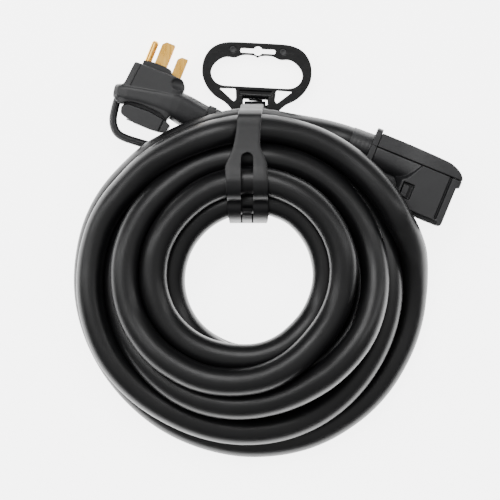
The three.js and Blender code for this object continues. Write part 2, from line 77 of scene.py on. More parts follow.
# ---------------------------------------------------------------- cable route
# The coil as knots (angle in degrees, radius from the coil's centre, height). The angle counts on from turn to
# turn, anticlockwise from +X, and the lists follow the cable from the connector's end to the plug's.
LAST_TURN = [
    (61.3, .1700, .032), (75, .1590, .046), (90, .1545, .058), (105, .1565, .060), (120, .1594, .052),
    (135, .1606, .044), (150, .1620, .038), (165, .1620, .034), (190, .1590, .032), (210, .1540, .034),
    (225, .1520, .038),
]
RISING_TURN = [
    (240, .1520, .044), (255, .1536, .046), (270, .1572, .046), (285, .1606, .046), (300, .1620, .046),
    (315, .1620, .046), (345, .1604, .054), (360, .1624, .062), (375, .1623, .070), (390, .1610, .073),
    (405, .1576, .073), (420, .1558, .075), (435, .1532, .080), (450, .1520, .086), (465, .1524, .088),
    (480, .1520, .084),
]
OUTER_TOP_TURN = [
    (495, .1536, .078), (510, .1552, .072), (525, .1568, .068), (540, .1573, .066), (570, .1560, .066),
    (585, .1520, .070), (600, .1504, .072), (630, .1486, .075), (660, .1444, .075), (690, .1396, .072),
    (720, .1384, .058), (735, .1380, .050), (750, .1370, .045),
]
DIVING_TURN = [
    (780, .1350, .043), (840, .1330, .043), (900, .1310, .043), (950, .1270, .046), (975, .1240, .054),
    (990, .1210, .062), (1020, .1170, .072), (1035, .1165, .078), (1050, .1207, .084), (1065, .1220, .090),
]
MIDDLE_TOP_TURN = [
    (1095, .1245, .096), (1110, .1262, .097), (1140, .1270, .098), (1170, .1287, .100), (1200, .1285, .098),
    (1230, .1285, .090), (1260, .1260, .086), (1290, .1185, .088), (1320, .1067, .090), (1350, .0952, .092),
    (1380, .0880, .092), (1395, .0850, .090), (1425, .0886, .086), (1440, .0907, .084),
]
INNER_TOP_TURN = [
    (1470, .0967, .080), (1500, .1003, .080), (1545, .1020, .080), (1575, .1013, .076), (1605, .0998, .074),
    (1635, .0957, .072), (1665, .0873, .070), (1695, .0768, .068), (1725, .0723, .064), (1755, .0703, .060),
    (1785, .0727, .054), (1800, .0751, .050),
]
INNERMOST_TURN = [
    (1830, .0799, .046), (1860, .0841, .044), (1905, .0835, .044), (1965, .0811, .043), (2010, .0789, .043),
    (2040, .0775, .043), (2070, .0830, .043), (2095, .0960, .043),
]
HIDDEN_MIDDLE_TURN = [
    (2120, .1080, .043), (2200, .1080, .043), (2300, .1080, .043), (2400, .1080, .043), (2475, .1060, .043),
]
HIDDEN_FLOOR_TURNS = [
    (2500, .0930, .040), (2530, .0820, .034), (2560, .0835, .022), (2600, .0850, .0145), (2700, .0820, .0145),
    (2800, .0780, .0145), (2860, .0770, .0145), (2905, .0810, .0145), (2930, .0945, .0145), (2960, .1075, .0145),
    (3060, .1075, .0145), (3200, .1075, .0145), (3320, .1075, .0145), (3345, .1220, .0145),
    (3375, .1360, .0145), (3480, .1360, .0145), (3600, .1360, .0145), (3640, .1345, .0150),
    (3661, .1335, .0165),
]
COIL_KNOTS = (
    LAST_TURN + RISING_TURN + OUTER_TOP_TURN + DIVING_TURN + MIDDLE_TOP_TURN + INNER_TOP_TURN
    + INNERMOST_TURN + HIDDEN_MIDDLE_TURN + HIDDEN_FLOOR_TURNS
)
# The two free ends, straight out of the collars, in each end's own frame.
CONNECTOR_EXIT = CONNECTOR_FRAME @ Vector((-0.0053, -0.0048, CONNECTOR_MID))
CONNECTOR_LEAD = CONNECTOR_FRAME @ Vector((-0.0280, -0.0048, CONNECTOR_MID + 0.001))
PLUG_EXIT = PLUG_FRAME @ Vector((0.0688, -0.0356, PLUG_MID))
PLUG_LEAD = PLUG_FRAME @ Vector((0.0950, -0.0358, PLUG_MID - 0.0025))
ROUTE_STEP = 0.012
ANGLE_STEP = 5.0


def on_coil(angle, radius, height):
    turn = math.radians(angle)
    x, y = COIL_CENTRE + radius * np.array([math.cos(turn), math.sin(turn)])
    return (x, y, height)


def catmull_rom(knots, per_span=12):
    """A smooth line through the knots, centripetal so that uneven spacing makes no loops."""
    pts = np.vstack([2 * knots[0] - knots[1], knots, 2 * knots[-1] - knots[-2]])
    line = []
    for p0, p1, p2, p3 in zip(pts, pts[1:], pts[2:], pts[3:]):
        t0 = 0.0
        t1 = t0 + np.linalg.norm(p1 - p0) ** 0.5
        t2 = t1 + np.linalg.norm(p2 - p1) ** 0.5
        t3 = t2 + np.linalg.norm(p3 - p2) ** 0.5
        for t in np.linspace(t1, t2, per_span, endpoint=False):
            a1 = (t1 - t) / (t1 - t0) * p0 + (t - t0) / (t1 - t0) * p1
            a2 = (t2 - t) / (t2 - t1) * p1 + (t - t1) / (t2 - t1) * p2
            a3 = (t3 - t) / (t3 - t2) * p2 + (t - t2) / (t3 - t2) * p3
            b1 = (t2 - t) / (t2 - t0) * a1 + (t - t0) / (t2 - t0) * a2
            b2 = (t3 - t) / (t3 - t1) * a2 + (t - t1) / (t3 - t1) * a3
            line.append((t2 - t) / (t2 - t1) * b1 + (t - t1) / (t2 - t1) * b2)
    line.append(knots[-1])
    return np.array(line)


def even_steps(line, step):
    along = np.concatenate([[0], np.cumsum(np.linalg.norm(np.diff(line, axis=0), axis=1))])
    marks = np.linspace(0, along[-1], int(round(along[-1] / step)) + 1)
    return np.stack([np.interp(marks, along, line[:, k]) for k in range(3)], axis=1)


def coil_line():
    """Interpolates angle, radius and height turn by turn, then adds the straight ends."""
    angles, radii, heights = (np.array(column) for column in zip(*COIL_KNOTS))
    fine = np.arange(angles[0], angles[-1] + 0.1, ANGLE_STEP)
    # Millimetres, so that radius and height count for about as much as degrees.
    smooth = catmull_rom(np.column_stack([angles, radii * 1000, heights * 1000]), 10)
    radius = np.interp(fine, smooth[:, 0], smooth[:, 1]) / 1000
    height = np.interp(fine, smooth[:, 0], smooth[:, 2]) / 1000
    turns = [on_coil(*values) for values in zip(fine, radius, height)]
    ends = [tuple(point) for point in (CONNECTOR_EXIT, CONNECTOR_LEAD, PLUG_LEAD, PLUG_EXIT)]
    return even_steps(catmull_rom(np.array(ends[:2] + turns + ends[2:]), 4), ROUTE_STEP)


def rod_at(end_frame, mid, start, end, radius):
    return end_frame @ Vector((*start, mid)), end_frame @ Vector((*end, mid)), radius


# What the cable lies round: rods for the necks, collars and pull loop, and (frame, low, high) boxes for the heads.
RODS = [
    rod_at(PLUG_FRAME, PLUG_MID, (0.020, -0.0312), (0.0586, -0.0352), 0.0156),
    rod_at(PLUG_FRAME, PLUG_MID, (0.0610, -0.0356), (0.0680, -0.0356), 0.0178),
    rod_at(PLUG_FRAME, PLUG_MID, (-0.010, -0.0806), (0.047, -0.0745), 0.0040),
    rod_at(PLUG_FRAME, PLUG_MID, (0.047, -0.0745), (0.056, -0.054), 0.0040),
    rod_at(CONNECTOR_FRAME, CONNECTOR_MID, (0.001, -0.0048), (0.034, -0.0048), 0.0195),
    rod_at(CONNECTOR_FRAME, CONNECTOR_MID, (-0.0045, -0.0048), (0.0, -0.0048), 0.0235),
]
BOXES = [
    (PLUG_FRAME, (-0.030, -0.050, 0.0), (0.031, -0.006, 0.055)),
    (PLUG_FRAME, (-0.021, -0.063, 0.004), (0.029, -0.050, 0.051)),
    (CONNECTOR_FRAME, (0.031, -0.050, 0.0), (0.092, 0.014, 0.054)),
]
# Where the strap passes under the coil.
STRAP_X = (-0.046, 0.001)
STRAP_UNDER_Y = 0.020
STRAP_THICKNESS = 0.0024
# Edge of the coil's hole, by angle in degrees: the turns stay outside it.
HOLE_EDGE = [
    (0, .0608), (30, .0656), (60, .0698), (105, .0690), (180, .0662), (225, .0638), (270, .0605), (315, .0560),
    (345, .0584), (360, .0608),
]
# How the turns settle: rounds in all, the share of them that sink fast, and the sink of a round in metres.
RELAX_ROUNDS = 300
SINKING_SHARE = 0.6
FIRST_SINK, LAST_SINK = 0.0006, 0.0001
STIFFNESS = 0.8
PLAN_PULL = 0.10
TURN_PUSH = (0.8, 0.8, 1.0)
HOUSING_PUSH = 0.7
SLACK, FLOOR_GAP = 0.0004, 0.0001
NEIGHBOURS = 4      # points this close along the cable do not push each other
HELD_START = 3      # points that stay on the planned line at the connector's end
HELD_END = 18       # and at the plug's end
CLEAR_START = 8     # points from here on keep clear of the plug and the connector


def rod_push(points, start, end, radius):
    start, way = np.array(start), np.array(end) - np.array(start)
    share = np.clip((points - start) @ way / (way @ way), 0, 1)
    away = points - (start + share[:, None] * way)
    gap = np.linalg.norm(away, axis=1) + 1e-9
    short = np.clip(radius + CABLE_RADIUS - gap, 0, None)
    return away / gap[:, None] * short[:, None]


def box_push(points, box_frame, low, high):
    inverse = np.array(box_frame.inverted())
    local = points @ inverse[:3, :3].T + inverse[:3, 3]
    away = local - np.clip(local, low, high)
    gap = np.linalg.norm(away, axis=1)
    inside = gap < 1e-9
    away[inside] = (0, 0, 1)
    gap[inside] = 1
    short = np.where(inside, high[2] - local[:, 2] + CABLE_RADIUS, np.clip(CABLE_RADIUS - gap, 0, None))
    push = away / gap[:, None] * short[:, None]
    return push @ np.array(box_frame)[:3, :3].T


def stiffener(count, strength):
    """A matrix that evens out bends shorter than a turn, as a stiff cable does, and leaves the turns alone."""
    bends = np.zeros((count - 2, count))
    for row in range(count - 2):
        bends[row, row:row + 3] = (1, -2, 1)
    return np.linalg.inv(np.eye(count) + strength * bends.T @ bends)


def settle(points):
    """Lets the turns sink and rest on each other, one diameter apart, without leaving their plan places."""
    count = len(points)
    plan = points[:, :2].copy()
    index = np.arange(count)
    near = np.abs(index[:, None] - index[None, :]) <= NEIGHBOURS
    held = (index < HELD_START) | (index >= count - HELD_END)
    fixed = points[held].copy()
    free, clear = slice(HELD_START, -HELD_END), slice(CLEAR_START, -HELD_END)
    spacing = CABLE_DIAMETER + SLACK
    stiff = stiffener(count, STIFFNESS)
    for turn in range(RELAX_ROUNDS):
        points[:, 2] -= FIRST_SINK if turn < RELAX_ROUNDS * SINKING_SHARE else LAST_SINK
        points = stiff @ points
        points[:, :2] += PLAN_PULL * (plan - points[:, :2])
        away = points[:, None, :] - points[None, :, :]
        gap = np.sqrt((away ** 2).sum(axis=2)) + 1e-9
        short = np.where(near, 0, np.clip(spacing - gap, 0, None))
        push = (away * (short / gap * 0.5)[:, :, None]).sum(axis=1)
        touching = np.maximum((short > 0).sum(axis=1), 1)[:, None]
        points[free] += (push / touching ** 0.3 * TURN_PUSH)[free]
        for rod in RODS:
            points[clear] += HOUSING_PUSH * rod_push(points[clear], *rod)
        for box in BOXES:
            points[clear] += HOUSING_PUSH * box_push(points[clear], *box)
        arm = points[:, :2] - COIL_CENTRE
        radius = np.linalg.norm(arm, axis=1)
        bearing = np.degrees(np.arctan2(arm[:, 1], arm[:, 0])) % 360
        least = np.interp(bearing, *zip(*HOLE_EDGE)) + CABLE_RADIUS
        points[:, :2] = COIL_CENTRE + arm * np.maximum(1, least / radius)[:, None]
        under_strap = (points[:, 0] > STRAP_X[0]) & (points[:, 0] < STRAP_X[1]) & (points[:, 1] > STRAP_UNDER_Y)
        floor = CABLE_RADIUS + np.where(under_strap, STRAP_THICKNESS + SLACK, FLOOR_GAP)
        points[:, 2] = np.maximum(points[:, 2], floor)
        points[held] = fixed
    return points


ROUTE = settle(coil_line())


# ---------------------------------------------------------------- mesh helpers
MM = 0.001


def new_object(name, verts, faces, smooth=True):
    mesh = bpy.data.meshes.new(name)
    mesh.from_pydata([tuple(v) for v in verts], [], [tuple(f) for f in faces])
    mesh.validate()
    mesh.update()
    piece = bpy.data.objects.new(name, mesh)
    SCENE.collection.objects.link(piece)
    if smooth:
        mesh.shade_smooth()
    return piece


def skin_faces(rows, count, ring=False):
    """Quads between rows of count points each; a ring also joins the last row to the first."""
    faces = []
    for row in range(rows if ring else rows - 1):
        here, after = row * count, (row + 1) % rows * count
        faces += [(here + k, here + (k + 1) % count, after + (k + 1) % count, after + k) for k in range(count)]
    return faces


def sweep(name, points, sections):
    """A closed skin over a row of cross-sections, one per point, each a list of (across, up) offsets in metres."""
    points = np.asarray(points, float)
    tangents = np.gradient(points, axis=0)
    tangents /= np.linalg.norm(tangents, axis=1)[:, None]
    side = np.cross(tangents[0], (0, 0, 1))
    if np.linalg.norm(side) < 0.2:
        side = np.cross(tangents[0], (1, 0, 0))
    verts, count = [], len(sections[0])
    for point, tangent, section in zip(points, tangents, sections):
        side = side - tangent * (side @ tangent)
        side /= np.linalg.norm(side)
        up = np.cross(side, tangent)
        verts += [point + side * across + up * rise for across, rise in section]
    faces = skin_faces(len(points), count)
    faces += [tuple(range(count)), tuple(reversed(range(len(verts) - count, len(verts))))]
    piece = new_object(name, verts, faces)
    fix_normals(piece)
    return piece


def fix_normals(piece):
    made = bmesh.new()
    made.from_mesh(piece.data)
    bmesh.ops.recalc_face_normals(made, faces=made.faces)
    made.to_mesh(piece.data)
    made.free()
    piece.data.update()


def circle(radius, sides):
    return [(radius * math.cos(2 * math.pi * k / sides), radius * math.sin(2 * math.pi * k / sides))
            for k in range(sides)]


def rounded(corners, steps=6):
    """An outline in millimetres from corners [x, y, radius], its corners eased by quadratic curves."""
    points = []
    count = len(corners)
    for i, corner in enumerate(corners):
        here = np.array(corner[:2], float)
        radius = corner[2] if len(corner) > 2 else 0
        if not radius:
            points.append(here)
            continue
        arms = []
        for j in (i - 1, (i + 1) % count):
            edge = np.array(corners[j][:2], float) - here
            length = np.linalg.norm(edge)
            arms.append(here + edge / length * min(radius, 0.45 * length))
        for t in np.linspace(0, 1, steps):
            points.append((1 - t) ** 2 * arms[0] + 2 * t * (1 - t) * here + t * t * arms[1])
    return [tuple(p) for p in points]


def capped(verts, count):
    """A flat-shaded solid from two rings of count points, the lower one first."""
    faces = [tuple(reversed(range(count))), tuple(range(count, 2 * count))] + skin_faces(2, count)
    piece = new_object("solid", verts, faces, smooth=False)
    fix_normals(piece)
    return piece


def prism(outline, low, high):
    """A closed solid from an outline in x and y, from z = low to z = high, all in millimetres."""
    return capped([(x * MM, y * MM, z * MM) for z in (low, high) for x, y in outline], len(outline))


def box_piece(x, y, z):
    return prism([(x[0], y[0]), (x[1], y[0]), (x[1], y[1]), (x[0], y[1])], *z)


def rod_piece(start, end, radius, sides=48):
    """A round rod between two points in millimetres."""
    start, end = Vector(start) * MM, Vector(end) * MM
    way = end - start
    turned = Matrix.Translation(start) @ way.to_track_quat("Z", "Y").to_matrix().to_4x4()
    return capped([turned @ Vector((x * MM, y * MM, z)) for z in (0, way.length) for x, y in circle(radius, sides)],
                  sides)


def upright(piece):
    """Stands a prism up: its outline then lies in x and z, and it runs from y = -high to y = -low."""
    piece.data.transform(Matrix.Rotation(math.radians(90), 4, "X"))
    return piece


def apply_modifiers(piece):
    shape = piece.evaluated_get(bpy.context.evaluated_depsgraph_get())
    made = bpy.data.meshes.new_from_object(shape)
    piece.modifiers.clear()
    piece.data = made
    return piece


def combine(base, operation, *others):
    for other in others:
        step = base.modifiers.new("step", "BOOLEAN")
        step.operation = operation
        step.object = other
        step.solver = "EXACT"
    apply_modifiers(base)
    for other in others:
        bpy.data.objects.remove(other)
    return base


def cut(base, *others):
    return combine(base, "DIFFERENCE", *others)


def join(base, *others):
    return combine(base, "UNION", *others)


def meet(base, *others):
    return combine(base, "INTERSECT", *others)


def mould(piece, voxel=0.6, rounds=5):
    """Turns joined solids into one moulded skin whose edges and hollows are softly rounded."""
    skin = piece.modifiers.new("skin", "REMESH")
    skin.mode = "VOXEL"
    skin.voxel_size = voxel * MM
    ease = piece.modifiers.new("ease", "SMOOTH")
    ease.factor = 0.5
    ease.iterations = rounds
    apply_modifiers(piece)
    piece.data.shade_smooth()
    return piece


def bevel(piece, width, segments, degrees):
    """Eases the edges that are sharper than the given angle; the width is in millimetres."""
    edge = piece.modifiers.new("edge", "BEVEL")
    edge.width, edge.segments, edge.limit_method = width * MM, segments, "ANGLE"
    edge.angle_limit = math.radians(degrees)
    return apply_modifiers(piece)


def place(piece, matrix, name, body, slot, finish, *nodes):
    """Puts a finished piece into the part's frame, gives it its name, body and finish, and hides the CAD nodes it
    replaces.
    """
    piece.data.transform(matrix)
    piece.data.update()
    piece.name = name
    piece.data.materials.clear()
    piece.data.materials.append(MATERIALS[finish])
    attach(piece, body)
    if nodes:
        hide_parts(*nodes)


def place_housing(piece, matrix, name, *nodes):
    place(piece, matrix, name, "root", "housing", "housing", *nodes)


# ---------------------------------------------------------------- materials
class Nodes:
    """A short way to build one node tree, of a material or of the world."""

    def __init__(self, owner, shader="Principled BSDF"):
        owner.use_nodes = True
        self.owner = owner
        self.tree = owner.node_tree
        self.shader = self.tree.nodes[shader]

    def add(self, kind, **values):
        node = self.tree.nodes.new(kind)
        for key, value in values.items():
            if key in node.inputs:
                node.inputs[key].default_value = value
            else:
                setattr(node, key, value)
        return node

    def link(self, source, target):
        self.tree.links.new(source, target)

    def noise(self, vector, scale, detail=3.0, rough=0.5):
        node = self.add("ShaderNodeTexNoise", Scale=scale, Detail=detail, Roughness=rough)
        self.link(vector, node.inputs["Vector"])
        return node.outputs["Fac"]

    def spread(self, value, low, high, start=0.3, stop=0.7):
        """Maps start to stop, by default the usual span of a noise, onto low to high."""
        limits = {"From Min": start, "From Max": stop, "To Min": low, "To Max": high}
        node = self.add("ShaderNodeMapRange", **limits)
        self.link(value, node.inputs["Value"])
        return node.outputs["Result"]

    def ramp(self, value, stops):
        node = self.add("ShaderNodeValToRGB")
        elements = node.color_ramp.elements
        while len(elements) < len(stops):
            elements.new(0.5)
        for element, (position, colour) in zip(elements, stops):
            element.position = position
            element.color = (*colour, 1)
        self.link(value, node.inputs["Fac"])
        return node.outputs["Color"]

    def stretched(self, vector, scale):
        node = self.add("ShaderNodeMapping")
        node.inputs["Scale"].default_value = scale
        self.link(vector, node.inputs["Vector"])
        return node.outputs["Vector"]

    def bump(self, *heights):
        """Stacks bumps of (height value, strength, distance in metres)."""
        normal = None
        for height, strength, distance in heights:
            node = self.add("ShaderNodeBump", Strength=strength, Distance=distance)
            self.link(height, node.inputs["Height"])
            if normal is not None:
                self.link(normal, node.inputs["Normal"])
            normal = node.outputs["Normal"]
        self.link(normal, self.shader.inputs["Normal"])


def polymer(name, dark, light, rough, grain, grain_depth, specular=0.5):
    """Moulded plastic or rubber: fine grain, cloudy gloss and slight colour drift."""
    n = Nodes(bpy.data.materials.new(name))
    where = n.add("ShaderNodeTexCoord").outputs["Object"]
    cloud = n.noise(where, 38.0, 4.0, 0.6)
    n.link(n.ramp(cloud, [(0.3, dark), (0.72, light)]), n.shader.inputs["Base Color"])
    smear = n.noise(n.stretched(where, (1.0, 2.6, 1.0)), 120.0, 5.0, 0.65)
    n.link(n.spread(smear, *rough), n.shader.inputs["Roughness"])
    n.shader.inputs["Specular IOR Level"].default_value = specular
    fine = n.noise(where, grain, 2.0, 0.5)
    broad = n.noise(where, 60.0, 2.0, 0.5)
    n.bump((fine, 0.35, grain_depth), (broad, 0.12, 0.0004))
    return n.owner


def jacket_material():
    """Extruded rubber: faint lengthwise draw lines, scuffs, and a soft sheen."""
    n = Nodes(bpy.data.materials.new("jacket"))
    along = n.add("ShaderNodeUVMap", uv_map="UVMap").outputs["UV"]
    where = n.add("ShaderNodeTexCoord").outputs["Object"]
    drawn = n.noise(n.stretched(along, (3.0, 160.0, 1.0)), 1.0, 4.0, 0.6)
    cloud = n.noise(where, 30.0, 4.0, 0.6)
    n.link(n.ramp(cloud, [(0.3, (0.0030, 0.0030, 0.0034)), (0.75, (0.0058, 0.0058, 0.0063))]),
           n.shader.inputs["Base Color"])
    scuff = n.noise(n.stretched(along, (60.0, 25.0, 1.0)), 1.0, 6.0, 0.7)
    n.link(n.spread(scuff, 0.29, 0.42), n.shader.inputs["Roughness"])
    n.shader.inputs["Specular IOR Level"].default_value = 0.37
    grain = n.noise(where, 1500.0, 2.0, 0.5)
    n.bump((drawn, 0.45, 0.00010), (grain, 0.25, 0.00006), (cloud, 0.12, 0.0008))
    return n.owner


def metal(name, dark, light, rough, lines):
    """Drawn or stamped metal, its fine lines set by how the noise is stretched."""
    n = Nodes(bpy.data.materials.new(name))
    where = n.add("ShaderNodeTexCoord").outputs["Object"]
    brushed = n.noise(n.stretched(where, lines), 1.0, 5.0, 0.65)
    n.link(n.ramp(brushed, [(0.3, dark), (0.7, light)]), n.shader.inputs["Base Color"])
    n.link(n.spread(brushed, *rough), n.shader.inputs["Roughness"])
    n.shader.inputs["Metallic"].default_value = 1.0
    n.bump((brushed, 0.1, 0.00003))
    return n.owner


# Darkest and lightest colour and roughness span; then grain, its depth and the sheen, or a metal's line scale.
POLYMERS = {
    "housing": ((0.0085, 0.0085, 0.0094), (0.0140, 0.0140, 0.0152), (0.40, 0.52), 1900.0, 0.00009),
    "face": ((0.005, 0.005, 0.0055), (0.008, 0.008, 0.009), (0.45, 0.6), 1600.0, 0.00008),
    "gloss": ((0.002, 0.002, 0.0022), (0.0040, 0.0040, 0.0045), (0.20, 0.30), 900.0, 0.00001, 0.36),
    "rivet": ((0.012, 0.012, 0.013), (0.020, 0.020, 0.022), (0.3, 0.4), 900.0, 0.00004),
    "strap": ((0.0045, 0.0045, 0.0050), (0.0085, 0.0085, 0.0094), (0.36, 0.46), 1400.0, 0.00007, 0.34),
    "insulation": ((0.18, 0.012, 0.010), (0.30, 0.02, 0.016), (0.35, 0.5), 1200.0, 0.00006),
}
METALS = {
    "brass": ((0.84, 0.42, 0.06), (0.97, 0.58, 0.13), (0.24, 0.34), (260.0, 40.0, 260.0)),
    "steel": ((0.30, 0.31, 0.32), (0.45, 0.46, 0.47), (0.25, 0.40), (500.0, 500.0, 80.0)),
}
MATERIALS = {"jacket": jacket_material()}
MATERIALS.update({name: polymer(name, *values) for name, values in POLYMERS.items()})
MATERIALS.update({name: metal(name, *values) for name, values in METALS.items()})


# ---------------------------------------------------------------- the cable
CABLE_SIDES = 28
SKIN_STEP = 0.0045


def make_cable():
    line = even_steps(catmull_rom(ROUTE, 6), SKIN_STEP)
    cable = sweep("power_cable", line, [circle(CABLE_RADIUS, CABLE_SIDES)] * len(line))
    along = np.concatenate([[0], np.cumsum(np.linalg.norm(np.diff(line, axis=0), axis=1))])
    layer = cable.data.uv_layers.new(name="UVMap")
    for face in cable.data.polygons:
        for loop in face.loop_indices:
            row, k = divmod(cable.data.loops[loop].vertex_index, CABLE_SIDES)
            last_strip = face.index % CABLE_SIDES == CABLE_SIDES - 1
            lap = CABLE_SIDES if k == 0 and last_strip else k
            layer.data[loop].uv = (along[row], lap / CABLE_SIDES)
    cable.data.materials.append(MATERIALS["jacket"])
    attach(cable, "root")
    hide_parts("cable_coil", "cable_plug_tail", "cable_connector_tail")
    return cable, along[-1], line


CABLE, CABLE_LENGTH, CABLE_PATH = make_cable()


# ---------------------------------------------------------------- strap
STRAP_HALF = 1.2
STRAP_STEPS = 7
# (Y, Z) of the band's middle, then its left and right edge in X, all in millimetres, round the whole loop.
STRAP_STATIONS = [
    (60, 1.4, -42.0, -2.0), (100, 1.4, -36.8, -9.4), (128, 1.4, -32.0, -7.2), (134, 1.3, -27.5, -5.4),
    (140.8, 1.3, -25.4, -4.4), (145.0, 3.2, -25.4, -4.4), (146.5, 7.0, -25.2, -4.2), (145.0, 10.9, -25.0, -4.0),
    (141.2, 12.8, -25.2, -4.2), (137.8, 15.2, -25.6, -4.4), (136.6, 20, -26.0, -4.6), (137.2, 27, -26.6, -5.0),
    (139.8, 33, -27.4, -5.4), (142.6, 44, -28.2, -6.0), (142.4, 53, -28.8, -6.4), (139.6, 66, -29.4, -6.8),
    (137.0, 79, -30.2, -7.2), (136.0, 88, -30.8, -7.4), (134.2, 93.4, -31.4, -7.7), (131.2, 97.6, -31.9, -8.0),
    (127.0, 99.4, -32.6, -8.6), (119, 100.5, -33.2, -9.2), (110, 101.7, -34.6, -9.6), (100, 103.2, -36.8, -9.4),
    (92, 104.6, -39.8, -6.2), (84, 106.0, -43.4, -3.2), (80, 106.7, -44.5, -2.6), (72, 108.5, -44.2, -2.2),
    (65, 109.4, -43.8, -1.8), (58.6, 107.9, -43.4, -1.6), (53.2, 103.8, -43.2, -1.6), (49.8, 98.2, -43.0, -1.5),
    (47.6, 91.6, -42.8, -1.4), (44.2, 88.2, -42.4, -1.4), (39.0, 86.2, -42.0, -1.3), (34.2, 82.0, -41.4, -1.3),
    (30.0, 75.4, -41.0, -1.5), (27.6, 67, -40.6, -1.9), (26.4, 56, -40.3, -2.3), (26.0, 44, -40.3, -2.4),
    (26.0, 20, -40.2, -2.6), (26.2, 8, -40.4, -2.6), (28.2, 3.2, -40.8, -2.6), (33, 1.4, -41.4, -2.6),
]
# The slot in the top of the band, the two slits that lead on from it, and (Y, Z) of the ribs on the tongue between.
SLOT_X = (-28.7, -16.5)
SLOT_NEAR, SLOT_FAR = 39, 94.8
SLOT_Z = (64, 118)
SLIT_HALF = 0.7
TONGUE_RIBS = [(36.0, 84.0), (32.6, 80.0), (29.8, 75.0)]


def band_section(left, right, half):
    """A flat section with rounded edges, as (x, height above the band's middle) going round it."""
    edge = 0.8
    arc = [(math.cos(a) * edge, math.sin(a) * edge) for a in np.radians([90, 60, 30, 0])]
    across = np.linspace(left + edge, right - edge, 10)
    top = [(x, half) for x in across[1:-1]]
    right_top = [(right - edge + dx, half - edge + dz) for dx, dz in arc]
    right_low = [(x, -z) for x, z in reversed(right_top)]
    low = [(x, -half) for x in across[-2:0:-1]]
    left_low = [(left + right - x, z) for x, z in reversed(right_low)]
    left_top = [(x, -z) for x, z in reversed(left_low)]
    return top + right_top + right_low + low + left_low + left_top


def make_strap():
    stations = np.array(STRAP_STATIONS, float)
    line = catmull_rom(np.vstack([stations[-1], stations, stations[:2]]), STRAP_STEPS)
    loop = line[STRAP_STEPS:-STRAP_STEPS - 1]       # once round, without meeting its first row again
    verts, rows = [], len(loop)
    for i in range(rows):
        y, z, left, right = loop[i]
        dy, dz = loop[(i + 1) % rows][:2] - loop[i - 1][:2]
        size = math.hypot(dy, dz)
        ny, nz = -dz / size, dy / size
        section = band_section(left, right, STRAP_HALF)
        verts += [(x * MM, (y + ny * h) * MM, (z + nz * h) * MM) for x, h in section]
    band = new_object("strap_band", verts, skin_faces(rows, len(section), ring=True))
    fix_normals(band)
    middle = sum(SLOT_X) / 2
    half = (SLOT_X[1] - SLOT_X[0]) / 2
    round_end = [(middle + half * math.cos(a), SLOT_FAR - half + half * math.sin(a))
                 for a in np.linspace(0, math.pi, 24)]
    slot = prism(round_end + [(x, SLOT_NEAR) for x in SLOT_X], *SLOT_Z)
    slits = [box_piece((x - SLIT_HALF, x + SLIT_HALF), (20, SLOT_NEAR + 2), (48, SLOT_Z[1]))
             for x in (SLOT_X[0] + SLIT_HALF, SLOT_X[1] - SLIT_HALF)]
    cut(band, slot, *slits)
    for y, z in TONGUE_RIBS:
        rib = rod_piece((SLOT_X[0] + 1.8, y, z + 1.5), (SLOT_X[1] - 1.8, y, z + 1.5), 0.75, sides=16)
        join(band, rib)
    bevel(band, 0.35, 2, 50)
    band.data.shade_smooth()
    place(band, Matrix.Identity(4), "retaining_strap", "root", "strap", "strap", "strap")


make_strap()


# ---------------------------------------------------------------- carry handle
HANDLE_DEPTH = 14.0
HANDLE_HALF_OUTLINE = [
    (0, 65.4), (12, 65.4), (22, 65.3), (30, 64.9), (37, 63.4), (43, 60.8), (48, 56.8), (52, 51.0), (54.4, 44.5),
    (55.2, 38), (54.8, 31), (52.8, 25), (49.4, 18.8), (45, 13.6), (40, 9.4), (35, 6.6), (31, 4.4), (27.4, 1.4),
    (24.6, -1.6), (22.6, -4.4), (20.6, -5.4),
]
GRIP_HALF_OPENING = [
    (0, 50.2), (2.2, 51.8), (5, 52.5), (10.5, 52.8), (15, 52.4), (18.4, 51.2), (21.4, 49.8), (24.5, 49.4),
    (29, 49.8), (33, 49.4), (37.4, 47.4), (41.4, 44.0), (44.6, 39.6), (46, 34.6), (45.2, 29.8), (42.6, 25.6),
    (38.6, 22.6), (34, 21.2), (28, 20.9), (14, 20.9), (0, 20.9),
]
# Flanges run round the outside and round the grip opening; the web between them lies lower on both sides.
OUTER_FLANGE, GRIP_FLANGE, HOLE_FLANGE = 2.7, 1.9, 1.6
WEB_STEP = 4.6
BOSS_X, BOSS_Y = 25.3, 57.6
BOSS_RADIUS, BOSS_HOLE = 5.2, 3.3
GUSSET_HOLE = [(36.8, 18.0, 1.2), (20.4, 18.4, 1.2), (19.6, 8.0, 1.2), (21.6, 5.4, 1.2)]
HANDLE_FOOT = [(-19, 19.4), (19, 19.4), (19.4, 8), (24, -10), (-24, -10), (-19.4, 8)]
WINDOW = [(17.6, 54.9, 1.6), (17.6, 59.4, 1.6), (-17.6, 59.4, 1.6), (-17.6, 54.9, 1.6)]
WINDOW_RIM = ((-19.4, 19.4), (52.6, 61.6))


def both_halves(half):
    """The whole outline from its right half, mirrored at x = 0."""
    right = [tuple(p) for p in catmull_rom(np.array(half, float), 5)]
    left = [(-x, y) for x, y in reversed(right) if x > 0.05]
    return right + left


def offset(outline, distance):
    """The closed outline moved outwards by distance, or inwards where it is negative."""
    points = np.array(outline)
    ahead, behind = np.roll(points, -1, axis=0), np.roll(points, 1, axis=0)
    way = ahead - behind
    way /= np.linalg.norm(way, axis=1)[:, None] + 1e-12
    normal = np.column_stack([way[:, 1], -way[:, 0]])
    area = np.sum(points[:, 0] * ahead[:, 1] - points[:, 1] * ahead[:, 0])
    return [tuple(p) for p in points + normal * distance * (1 if area > 0 else -1)]


